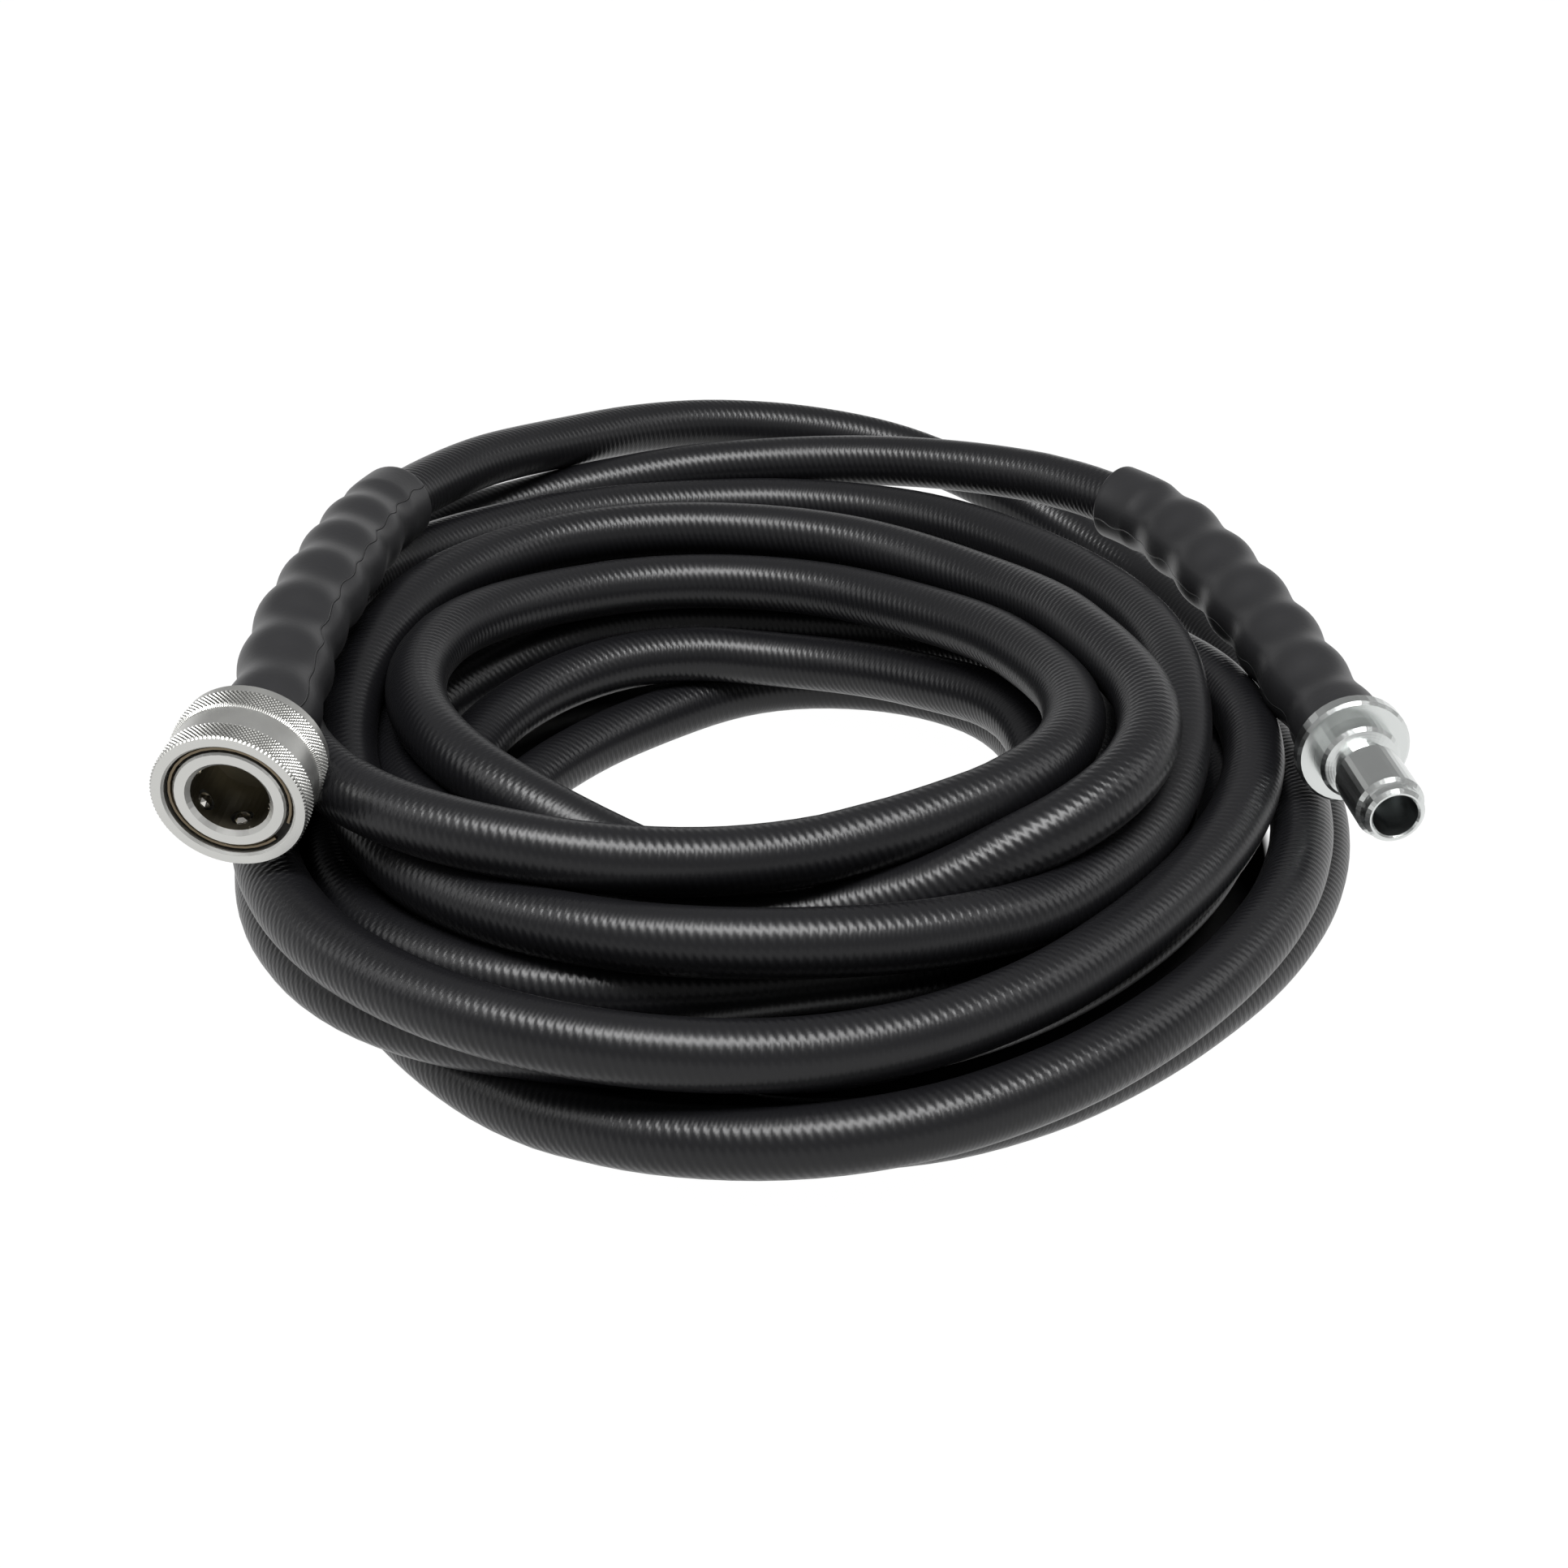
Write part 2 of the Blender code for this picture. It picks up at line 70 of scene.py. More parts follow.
# The grips
GRIP_BORE = HOSE_DIAMETER + 2 * FITTING_GAP
GRIP_WALL = 1.5 * MM
GRIP_RIB_HEIGHT = 1.5 * MM
GRIP_LENGTH = 132.0 * MM
GRIP_RIBS = 7
GRIP_CUFF_SHARE = 0.8
GRIP_NOTCH_SHARE = 0.74
GRIP_EDGE = 1.0 * MM
GRIP_EDGE_RINGS = 5
GRIP_RINGS = 112
GRIP_BORE_EVERY = 4
GRIP_SIDES = 56
GRIP_LINE_SHARE = 1.5
GRIP_LINE_POINTS = 4
GRIP_SHARP_DEG = 50.0
GRIP_COLOUR = (0.012, 0.012, 0.013)
GRIP_SPECULAR = 0.35
GRIP_ROUGHNESS = 0.40
GRAIN_SCALE = 900.0
GRAIN_SHARE = 0.12

# The mould's seam lines along each grip, as shares of the way around it
SEAMS_AROUND = 2
COUPLER_SEAM = 0.40
PLUG_SEAM = 0.47
SEAM_WIDTH = 0.004
SEAM_WAVE = 0.007
SEAM_WAVE_PITCH = 11.0 * MM
SEAM_HEIGHT = 0.25 * MM
SEAM_COLOUR = (0.07, 0.07, 0.07)
SEAM_COLOUR_SHARE = 0.5

# The coupler's sleeve
SLEEVE_DIAMETER = 32.0 * MM
SLEEVE_WALL = 2.9 * MM
SLEEVE_LENGTH = 19.0 * MM
SLEEVE_BEVEL = 0.5 * MM
SLEEVE_REAR_RIM = 2.8 * MM
SLEEVE_BAND = 4.3 * MM
SLEEVE_RIM_STEP = 0.5 * MM
SLEEVE_WAIST_DEPTH = 0.7 * MM
KNURLS_AROUND = 108
KNURL_SAMPLES = 4
KNURL_DEPTH = 0.45 * MM
SLEEVE_SHARP_DEG = 30.0

# The coupler's body and the plug
BODY_END = 20.0 * MM
BODY_FACE_SETBACK = 0.6 * MM
SOCKET_DIAMETER = 16.2 * MM
SOCKET_CHAMFER = 0.9 * MM
FLANGE_THICKNESS = 3.4 * MM
PLUG_BORE = 9.8 * MM

# The metals: zinc plate with faint turning marks and a cloudy shine, made darker down a bore with painted
# shade (in the coupler's socket also an oily brown tint), then the steel of the balls and the spring wire.
# The plug's bore has its painted shade from end to end
COUPLER_COLOUR = (0.56, 0.56, 0.54)
COUPLER_ROUGHNESS = 0.38
# Painted shade with an oily brown tint: the coupler's socket is darker down inside
SOCKET_OIL_AND_SHADE_COLOUR = (0.24, 0.22, 0.17)
PLUG_COLOUR = (0.66, 0.68, 0.67)
PLUG_ROUGHNESS = 0.24
# Painted shade: the plug's bore is a little darker than its outside, all along
PLUG_BORE_SHADE_COLOUR = (0.62, 0.64, 0.64)
# Painted shade multiplied into the sleeve's knurl grooves by their depth
PAINTED_GROOVE_SHADE = (0.30, 0.30, 0.29)
BALL_COLOUR = (0.70, 0.68, 0.64)
BALL_ROUGHNESS = 0.16
WIRE_COLOUR = (0.16, 0.13, 0.09)
WIRE_ROUGHNESS = 0.34
TURNING_PITCH = 0.35 * MM
TURNING_DEPTH = 0.0015 * MM
CLOUD_SCALE = 220.0
CLOUD_ROUGHNESS = 0.10
BORE_MARGIN = 0.1 * MM
PAST_THE_PLUG = 1.0
FINE_DETAIL = 4.0

# Camera, as found from the photograph
PHOTO_WIDTH = 1932
PHOTO_FOCAL_PIXELS = 2736
SENSOR_WIDTH_MM = 36.0
CAMERA_ELEVATION_DEG = 30.0
CAMERA_DISTANCE = 40.0 * HOSE_DIAMETER
CAMERA_AIM = (-0.2, 1.45, 0.0)
CAMERA_CLIP_START = 10.0 * MM

# The studio: each softbox's place, size and power, the bright band round the horizon and the room above it
SOFTBOXES = {
    "softbox_top": ((0.0, -0.35, 1.1), (1.0, 0.32), 22.0),
    "softbox_left": ((-1.1, -0.2, 0.9), (0.5, 0.8), 3.5),
    "softbox_right": ((1.1, 0.1, 0.9), (0.5, 0.8), 3.5),
}
BAND_TOP = 0.10
ROOM_FROM = 0.30
BAND_STRENGTH = 0.95
ROOM_STRENGTH = 0.30
FLOOR_SIZE = 40.0
FLOOR_COLOUR = (0.02, 0.02, 0.02)
FLOOR_ROUGHNESS = 0.9
WHITE = (1.0, 1.0, 1.0, 1.0)

# Where the floor has a painted shadow under the turns, as radii from the coil's axis
FLOOR_SHADOW_FROM = 4.9 * HOSE_DIAMETER
FLOOR_SHADOW_TO = 8.25 * HOSE_DIAMETER
FLOOR_SHADOW_EDGE = 0.2 * HOSE_DIAMETER

# Where the fittings lie, in the same way as in the part's source
COUPLER_PLACE = (217.1, 0.97, 4.06)
COUPLER_AXIS = Vector((-0.100, -0.988, -0.117)).normalized()
PLUG_PLACE = (344.7, 0.03, 2.80)
PLUG_AXIS = Vector((0.095, -0.995, 0.003)).normalized()
STRAIGHT_SHARES = (0.0, 0.5, 1.0)

# The hose behind each fitting: the angle in degrees about the coil's axis, the distance out from the coil's
# outer floor turn and the height, both in hose diameters
COUPLER_ROUTE = [
    (194.0, -1.00, 4.44),
    (186.5, -1.24, 4.50),
    (175.3, -1.38, 4.45),
    (165.0, -1.21, 4.35),
    (155.5, -0.86, 4.22),
    (147.2, -0.46, 4.08),
    (138.0, -0.03, 3.95),
    (128.2, 0.47, 3.80),
    (116.2, 1.20, 3.50),
    (106.9, 1.93, 3.27),
    (98.2, 2.40, 3.07),
    (89.0, 2.67, 2.80),
    (80.1, 2.90, 2.40),
    (71.7, 2.92, 1.86),
    (62.5, 2.72, 1.25),
    (52.8, 2.20, 0.80),
    (42.7, 1.50, 0.60),
    (30.0, 0.70, 0.50),
    (15.0, 0.00, 0.50),
]
PLUG_ROUTE = [
    (359.3, -0.63, 2.88),
    (8.2, -0.74, 2.95),
    (16.5, -0.76, 3.05),
    (24.4, -0.66, 3.13),
    (31.9, -0.44, 3.20),
    (39.3, -0.14, 3.23),
    (46.5, 0.04, 3.25),
    (56.7, 0.17, 3.25),
    (69.4, 0.20, 3.15),
    (82.7, 0.25, 3.00),
    (98.0, 0.24, 2.85),
    (113.0, 0.46, 2.65),
    (126.5, 0.70, 2.50),
    (138.0, 0.70, 2.50),
    (152.0, 0.20, 2.50),
]

# The coil's turns, clockwise from above: (radius, height) in hose diameters at the back, back right, right,
# front right, front, front left, left and back left of each turn
TURN_START_DEG = 90.0
TURN_STEP_DEG = 45.0
TURNS = [
    [None, None, (8.95, 0.5), (8.68, 0.5), (9.13, 0.5), (7.5, 0.5), (4.9, 0.5), (3.95, 0.5)],
    [(4.4, 0.5), (4.8, 0.5), (4.5, 0.5), (6.0, 0.5), (7.3, 0.5), (6.55, 0.9), (5.8, 1.0), (4.65, 1.22)],
    [(3.6, 1.15), (3.15, 1.5), (3.85, 1.8), (4.9, 1.2), (6.2, 0.5), (7.2, 1.5), (6.8, 0.6), (7.7, 0.5)],
    [(8.4, 0.5), (8.1, 0.6), (8.3, 1.27), (9.0, 1.46), (9.85, 1.2), (8.5, 0.5), (7.7, 0.5), (6.9, 1.3)],
    [(6.4, 0.5), (6.9, 0.5), (7.3, 1.15), (7.4, 1.15), (8.5, 1.2), (9.45, 1.15), (8.1, 1.3), (8.2, 1.35)],
    [(7.9, 1.4), (6.6, 1.5), (6.3, 1.9), (6.5, 1.6), (7.1, 1.85), (8.75, 1.85), (7.2, 1.35), (5.7, 1.62)],
    [(4.5, 1.6), (4.2, 2.0), (4.75, 2.4), (5.2, 2.2), (5.3, 1.5), (6.45, 3.0), (6.35, 3.05), (5.3, 2.6)],
    [(4.0, 2.58), (3.3, 2.8), (3.9, 3.1), (5.75, 3.3), (6.35, 2.95), (8.1, 3.6), (8.2, 3.3), (8.8, 2.6)],
    [(8.65, 2.3), (6.85, 2.7), (6.27, 3.0), (6.85, 2.5), (7.6, 2.77), (8.0, 2.58), (7.22, 3.0), (6.69, 3.0)],
    [(5.3, 3.05), (4.55, 3.1), (4.85, 3.5), (6.75, 3.45),
     (6.15, 1.95), (7.05, 2.35), (6.85, 2.15), (7.5, 2.2)],
    [(6.9, 1.4), (7.6, 1.6), (7.56, 2.2), (7.7, 2.15), (9.2, 1.95), (9.6, 2.1), (7.9, 2.3), None],
]

# How the turns settle onto each other, with lengths in hose diameters. The ends are held, and the rest of the
# hose is pushed apart a little in each round
KNOT_POINTS = 6
TURN_POINTS = 4
PATH_STEP = 0.36
HELD_LENGTH = 10.8
EASED_LENGTH = 3.6
FLOOR_HEIGHT = 0.5
PAIR_REACH = 1.5
PAIR_SKIP = 2.2
PAIR_ROUNDS = 8
PAIR_PART = 256
LEAST_APART = 0.05
LEAST_FREE = 1e-6
SETTLE_ROUNDS = 200
SETTLE_SPREAD = 8
SETTLE_PUSH = 1.3
SETTLE_SMOOTHING = 0.5
SETTLE_RETURN = 0.004


# The hose's line

def coil_axis():
    """The coil's middle, on the floor."""
    low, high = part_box("hose_coil")
    return Vector(((low[0] + high[0]) / 2, (low[1] + high[1]) / 2, 0.0))


def catmull(knots, per_span):
    """Points of a smooth curve through the knots, per_span to each span."""
    padded = np.vstack([2 * knots[0] - knots[1], knots, 2 * knots[-1] - knots[-2]])
    share = np.linspace(0, len(knots) - 1, (len(knots) - 1) * per_span + 1)
    span = np.clip(np.floor(share).astype(int), 0, len(knots) - 2)
    t = (share - span)[:, None]
    a, b, c, d = (padded[span + shift] for shift in range(4))
    slope = (c - a) * t
    bend = (2 * a - 5 * b + 4 * c - d) * t ** 2
    twist = (3 * b - 3 * c + d - a) * t ** 3
    return 0.5 * (2 * b + slope + bend + twist)


def travelled(points):
    """The distance along a line at each of its points."""
    return np.concatenate([[0.0], np.cumsum(np.linalg.norm(np.diff(points, axis=0), axis=1))])


def points_at(points, distances):
    """The places on a line at some distances along it."""
    along = travelled(points)
    return np.stack([np.interp(distances, along, points[:, axis]) for axis in range(3)], axis=1)


def evenly(points, step):
    """The same line, with its points about a step apart."""
    length = travelled(points)[-1]
    return points_at(points, np.linspace(0.0, length, round(length / step) + 1))


def place(angle_deg, out, height):
    """A place of the lay, in hose diameters about the coil's axis."""
    angle = math.radians(angle_deg)
    reach = COIL_FLOOR_RADIUS + out
    return np.array((reach * math.cos(angle), reach * math.sin(angle), height))


def lead_knots(face, axis, fitting_end, route):
    """The straight start behind a fitting, then the route's own places."""
    back = np.array(axis)
    starts = [(fitting_end + FITTING_GAP) / HOSE_DIAMETER + share for share in STRAIGHT_SHARES]
    return [place(*face) - back * start for start in starts] + [place(*stop) for stop in route]


def turn_points():
    """The coil's turns, smoothed in angle, radius and height."""
    stops = []
    for turn, row in enumerate(TURNS):
        for step, stop in enumerate(row):
            if stop is not None:
                angle = TURN_START_DEG - 360.0 * turn - TURN_STEP_DEG * step
                stops.append((angle, *stop))
    smooth = catmull(np.array(stops), TURN_POINTS)
    angle = np.radians(smooth[:, 0])
    return np.stack([smooth[:, 1] * np.cos(angle), smooth[:, 1] * np.sin(angle), smooth[:, 2]], axis=1)


def close_pairs(points):
    """Pairs of points that lie near each other and aren't neighbours along the hose."""
    skip = math.ceil(PAIR_SKIP / PATH_STEP)
    found = []
    index = np.arange(len(points))
    for start in range(0, len(points), PAIR_PART):
        part = points[start:start + PAIR_PART]
        apart = np.linalg.norm(part[:, None] - points[None], axis=2)
        near = (apart < PAIR_REACH) & (index[None] - index[start:start + PAIR_PART, None] > skip)
        rows, columns = np.nonzero(near)
        found.append(np.stack([rows + start, columns], axis=1))
    return np.vstack(found)


def rolling_mean(values, width):
    """Each value becomes the weighted mean of its neighbours along the hose."""
    weights = np.bartlett(2 * width + 3)[1:-1]
    shares = weights / weights.sum()
    padded = np.pad(values, ((width, width), (0, 0)), mode="edge")
    return np.stack([np.convolve(column, shares, mode="valid") for column in padded.T], axis=1)


def freedom(count):
    """How free each point of the hose is to move: not at all near its ends, and wholly along its turns."""
    held = HELD_LENGTH / PATH_STEP
    eased = EASED_LENGTH / PATH_STEP
    ramp = np.clip((np.arange(count) - held) / eased, 0.0, 1.0)
    return np.minimum(ramp, ramp[::-1])[:, None]


def pushes(here, pairs, free):
    """How far each point is pushed by the turns closer to it than a diameter."""
    first, second = pairs
    between = here[first] - here[second]
    apart = np.maximum(np.linalg.norm(between, axis=1), LEAST_APART)
    push = np.maximum(1.0 - apart, 0.0)[:, None] * between / apart[:, None]
    both = np.maximum(free[first] + free[second], LEAST_FREE)
    move = np.zeros_like(here)
    count = np.zeros((len(here), 1))
    np.add.at(move, first, push * free[first] / both)
    np.add.at(move, second, -push * free[second] / both)
    touching = (apart < 1.0)[:, None].astype(float)
    np.add.at(count, first, touching)
    np.add.at(count, second, touching)
    return move / np.maximum(count, 1.0) ** 0.5


def settle(points):
    """Pushes the turns a diameter apart and off the floor. The stiff hose spreads each push along itself."""
    points[:, 2] = np.maximum(points[:, 2], FLOOR_HEIGHT)
    free = freedom(len(points))
    moved = np.zeros_like(points)
    for settling in range(SETTLE_ROUNDS):
        here = points + moved
        if settling % PAIR_ROUNDS == 0:
            pairs = close_pairs(here).T
        move = pushes(here, pairs, free)
        move[:, 2] += np.maximum(FLOOR_HEIGHT - here[:, 2], 0.0)
        moved += SETTLE_PUSH * move * free
        spread = rolling_mean(moved, SETTLE_SPREAD) - moved
        moved += (SETTLE_SMOOTHING * spread - SETTLE_RETURN * moved) * free
    settled = points + moved
    settled[:, 2] = np.maximum(settled[:, 2], FLOOR_HEIGHT)
    return settled


def hose_path():
    """The whole hose's centre line in metres, from the coupler to the plug."""
    coupler = np.array(lead_knots(COUPLER_PLACE, COUPLER_AXIS, BODY_END, COUPLER_ROUTE))
    plug = np.array(lead_knots(PLUG_PLACE, PLUG_AXIS, FLANGE_THICKNESS, PLUG_ROUTE))
    knots = np.vstack([coupler, turn_points(), plug[::-1]])
    line = settle(evenly(catmull(knots, KNOT_POINTS), PATH_STEP))
    return line * HOSE_DIAMETER + np.array(coil_axis())


# Meshes from rings of points

def ring_frames(path):
    """Two directions across the path at each point, the first one level at the start and carried on."""
    ahead = np.gradient(path, axis=0)
    ahead /= np.linalg.norm(ahead, axis=1)[:, None]
    side = np.cross((0.0, 0.0, 1.0), ahead[0])
    sides = []
    for forward in ahead:
        side = side - forward * np.dot(side, forward)
        side /= np.linalg.norm(side)
        sides.append(side)
    sides = np.array(sides)
    return sides, np.cross(ahead, sides)


def ring_mesh(name, rings, along, looped):
    """A closed body from rings of points. Its map runs along it in metres, and around it from 0 to 1."""
    count, sides = rings.shape[:2]
    faces = []
    maps = []
    spans = count if looped else count - 1
    for index in range(spans):
        following = (index + 1) % count
        for step in range(sides):
            after = (step + 1) % sides
            faces.append((index * sides + step, index * sides + after,
                          following * sides + after, following * sides + step))
            left, right = step / sides, (step + 1) / sides
            low, high = along[index], along[following]
            maps += [(low, left), (low, right), (high, right), (high, left)]
    if not looped:
        last = (count - 1) * sides
        faces.append(tuple(range(sides))[::-1])
        faces.append(tuple(range(last, last + sides)))
        maps += [(along[0], 0.0)] * sides + [(along[-1], 0.0)] * sides
    mesh = bpy.data.meshes.new(name)
    mesh.from_pydata(rings.reshape(-1, 3), [], faces)
    layer = mesh.uv_layers.new(name="along")
    layer.data.foreach_set("uv", np.array(maps, dtype=float).ravel())
    mesh.polygons.foreach_set("use_smooth", [True] * len(faces))
    return mesh


def around(count):
    """The cosines and sines of angles evenly around a circle."""
    angles = math.tau * np.arange(count) / count
    return np.cos(angles), np.sin(angles)


def tube_rings(path, radii, sides, frames):
    """A ring of points about each point of the path."""
    across, upward = frames
    cosines, sines = around(sides)
    spokes = across[:, None] * cosines[None, :, None] + upward[:, None] * sines[None, :, None]
    return path[:, None] + radii[:, None, None] * spokes


def add_piece(name, data, look):
    """An object in the scene with one material."""
    piece = bpy.data.objects.new(name, data)
    bpy.context.scene.collection.objects.link(piece)
    data.materials.append(look)
    return piece


# Materials

def shader_of(look):
    """The shader that a new material comes with."""
    return look.node_tree.nodes["Principled BSDF"]


def new_look(name, colour, roughness, metallic=0.0):
    """A material of one colour and roughness."""
    look = bpy.data.materials.new(name)
    look.use_nodes = True
    shader = shader_of(look)
    shader.inputs["Base Color"].default_value = (*colour, 1.0)
    shader.inputs["Roughness"].default_value = roughness
    shader.inputs["Metallic"].default_value = metallic
    return look


def add_node(look, kind, **values):
    """A new node with these settings."""
    node = look.node_tree.nodes.new(kind)
    for key, value in values.items():
        setattr(node, key, value)
    return node


def join(look, output, target):
    """Links one node's output to another's input."""
    look.node_tree.links.new(output, target)


def feed(look, socket, value):
    """Sets a socket to a number or a vector, or joins an output to it."""
    if isinstance(value, bpy.types.NodeSocket):
        join(look, value, socket)
    else:
        socket.default_value = value


def maths(look, operation, *values):
    """The result of an operation on numbers or outputs."""
    node = add_node(look, "ShaderNodeMath", operation=operation)
    for socket, value in zip(node.inputs, values):
        feed(look, socket, value)
    return node.outputs[0]


def vector_maths(look, operation, output, *values):
    """The named output of an operation on vectors or outputs."""
    node = add_node(look, "ShaderNodeVectorMath", operation=operation)
    for socket, value in zip(node.inputs, values):
        feed(look, socket, value)
    return node.outputs[output]


def mix_colours(look, share, first, second, blend="MIX"):
    """The first colour blended with a share of the second. Each is a colour or another node's output."""
    node = add_node(look, "ShaderNodeMix", data_type="RGBA", blend_type=blend)
    feed(look, node.inputs["Factor"], share)
    colours = [socket for socket in node.inputs if socket.type == "RGBA"]
    for socket, colour in zip(colours, (first, second)):
        feed(look, socket, colour if isinstance(colour, bpy.types.NodeSocket) else (*colour, 1.0))
    return next(socket for socket in node.outputs if socket.type == "RGBA")


def wave(look, value, pitch):
    """A sine wave along an output."""
    return maths(look, "SINE", maths(look, "MULTIPLY", value, math.tau / pitch))


def noise(look, scale, detail=2.0):
    """Cloudy noise fixed to the piece."""
    where = add_node(look, "ShaderNodeTexCoord")
    node = add_node(look, "ShaderNodeTexNoise")
    node.inputs["Scale"].default_value = scale
    node.inputs["Detail"].default_value = detail
    join(look, where.outputs["Object"], node.inputs["Vector"])
    return node.outputs[0]


def add_bump(look, height, distance):
    """Gives the surface fine relief: a height of 1 stands out by the distance."""
    bump = add_node(look, "ShaderNodeBump")
    bump.inputs["Distance"].default_value = distance
    join(look, height, bump.inputs["Height"])
    join(look, bump.outputs[0], shader_of(look).inputs["Normal"])


def map_parts(look):
    """The distance along a piece in metres, and the share of the way around it."""
    where = add_node(look, "ShaderNodeUVMap", uv_map="along")
    parts = add_node(look, "ShaderNodeSeparateXYZ")
    join(look, where.outputs[0], parts.inputs[0])
    return parts.outputs[0], parts.outputs[1]


def slanted(look, along, turn_share, pitch, turns):
    """A wave of ribs across a tube that climb as they go around it."""
    climb = maths(look, "MULTIPLY", turn_share, turns)
    count = maths(look, "ADD", maths(look, "MULTIPLY", along, 1.0 / pitch), climb)
    return maths(look, "SINE", maths(look, "MULTIPLY", count, math.tau))


def hose_look():
    """Near-black satin rubber with the fine slanted imprint of the cloth it was cured in."""
    look = new_look("hose_black_rubber", HOSE_COLOUR, HOSE_ROUGHNESS)
    shader = shader_of(look)
    shader.inputs["Specular IOR Level"].default_value = HOSE_SPECULAR
    along, turn_share = map_parts(look)
    ribs = slanted(look, along, turn_share, IMPRINT_PITCH, IMPRINT_TURNS)
    fine = slanted(look, along, turn_share, FINE_PITCH, -IMPRINT_TURNS)
    patches = maths(look, "ADD", PATCH_LEAST, noise(look, PATCH_SCALE))
    height = maths(look, "ADD", ribs, maths(look, "MULTIPLY", fine, FINE_SHARE))
    add_bump(look, maths(look, "MULTIPLY", height, patches), IMPRINT_DEPTH / 2)
    smudge = maths(look, "MULTIPLY", noise(look, SMUDGE_SCALE, FINE_DETAIL), SMUDGE_ROUGHNESS)
    join(look, maths(look, "ADD", HOSE_ROUGHNESS, smudge), shader.inputs["Roughness"])
    return look


def seam_line(look, along, turn_share, seam_at):
    """1 on the mould's wavy seam lines, falling to 0 at their edges."""
    apart = 1.0 / SEAMS_AROUND
    bend = maths(look, "MULTIPLY", wave(look, along, SEAM_WAVE_PITCH), SEAM_WAVE)
    shifted = maths(look, "ADD", maths(look, "SUBTRACT", turn_share, seam_at - 1.0), bend)
    within = maths(look, "SUBTRACT", maths(look, "MODULO", shifted, apart), apart / 2)
    off_seam = maths(look, "SUBTRACT", apart / 2, maths(look, "ABSOLUTE", within))
    share = maths(look, "MINIMUM", maths(look, "DIVIDE", off_seam, SEAM_WIDTH), 1.0)
    return maths(look, "SUBTRACT", 1.0, share)


def grip_look(name, seam_at):
    """Matt moulded rubber with a thin wavy seam line on two sides."""
    look = new_look(name, GRIP_COLOUR, GRIP_ROUGHNESS)
    shader = shader_of(look)
    shader.inputs["Specular IOR Level"].default_value = GRIP_SPECULAR
    along, turn_share = map_parts(look)
    seam = seam_line(look, along, turn_share, seam_at)
    grain = maths(look, "MULTIPLY", noise(look, GRAIN_SCALE), GRAIN_SHARE)
    add_bump(look, maths(look, "ADD", seam, grain), SEAM_HEIGHT)
    paler = maths(look, "MULTIPLY", seam, SEAM_COLOUR_SHARE)
    join(look, mix_colours(look, paler, GRIP_COLOUR, SEAM_COLOUR), shader.inputs["Base Color"])
    return look


def turned_place(look, origin, axis):
    """How far a point lies along a fitting's axis, and how far out from it."""
    spot = add_node(look, "ShaderNodeNewGeometry").outputs["Position"]
    offset = vector_maths(look, "SUBTRACT", "Vector", spot, tuple(origin))
    along = vector_maths(look, "DOT_PRODUCT", "Value", offset, tuple(axis))
    reach = vector_maths(look, "LENGTH", "Value", offset)
    squares = maths(look, "SUBTRACT", maths(look, "POWER", reach, 2.0), maths(look, "MULTIPLY", along, along))
    return along, maths(look, "SQRT", maths(look, "MAXIMUM", squares, 0.0))


def metal_look(name, colour, roughness, origin, axis, bore, bore_from, bore_shade_colour):
    """Zinc plate with fine turning marks, a little cloudy, with painted shade down its bore and in its knurl
    grooves.
    """
    look = new_look(name, colour, roughness, 1.0)
    shader = shader_of(look)
    along, out = turned_place(look, origin, axis)
    add_bump(look, wave(look, maths(look, "ADD", along, out), TURNING_PITCH), TURNING_DEPTH)
    cloud = maths(look, "MULTIPLY", noise(look, CLOUD_SCALE, FINE_DETAIL), CLOUD_ROUGHNESS)
    join(look, maths(look, "ADD", roughness - CLOUD_ROUGHNESS / 2, cloud), shader.inputs["Roughness"])
    # Painted shade: the colour turns darker inside the bore, past bore_from
    within = maths(look, "LESS_THAN", out, bore / 2 + BORE_MARGIN)
    deep = maths(look, "LESS_THAN", along, bore_from)
    bore_shaded = mix_colours(look, maths(look, "MULTIPLY", within, deep), colour, bore_shade_colour)
    # Painted shade: the colour is darkened down in the knurl grooves, by the groove depth kept on the mesh
    groove = add_node(look, "ShaderNodeAttribute", attribute_name="groove").outputs["Fac"]
    join(look, mix_colours(look, groove, bore_shaded, PAINTED_GROOVE_SHADE, "MULTIPLY"), shader.inputs["Base Color"])
    return look


# Pieces

def add_hose(path):
    """The whole hose as one tube along its line."""
    radii = np.full(len(path), HOSE_DIAMETER / 2)
    rings = tube_rings(path, radii, HOSE_SIDES, ring_frames(path))
    hose = add_piece("hose", ring_mesh("hose", rings, travelled(path), False), hose_look())
    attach(hose, "hose")
    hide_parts("hose_coil", "hose_lead_coupler", "hose_lead_plug")
    return hose


def grip_hump(distance):
    """How far the grip stands out at a distance from its fitting, as a share of the rib's height."""
    pitch = GRIP_LENGTH / GRIP_RIBS
    share = distance / pitch % 1.0
    rise = math.sin(math.pi * share) ** 2
    hump = 1.0 - GRIP_NOTCH_SHARE * (1.0 - rise)
    if distance < pitch / 2:
        return GRIP_CUFF_SHARE + (1.0 - GRIP_CUFF_SHARE) * rise
    if distance > GRIP_LENGTH - pitch:
        return min(hump, GRIP_CUFF_SHARE) if share < 0.5 else GRIP_CUFF_SHARE
    return hump


def grip_radius(distance):
    """The grip's outer radius, with a rounded edge at the hose's end."""
    valley = GRIP_BORE / 2 + GRIP_WALL
    radius = valley + GRIP_RIB_HEIGHT * grip_hump(distance)
    into_edge = min(1.0, max(0.0, distance - (GRIP_LENGTH - GRIP_EDGE)) / GRIP_EDGE)
    return radius - GRIP_EDGE * (1.0 - math.sqrt(1.0 - into_edge ** 2))


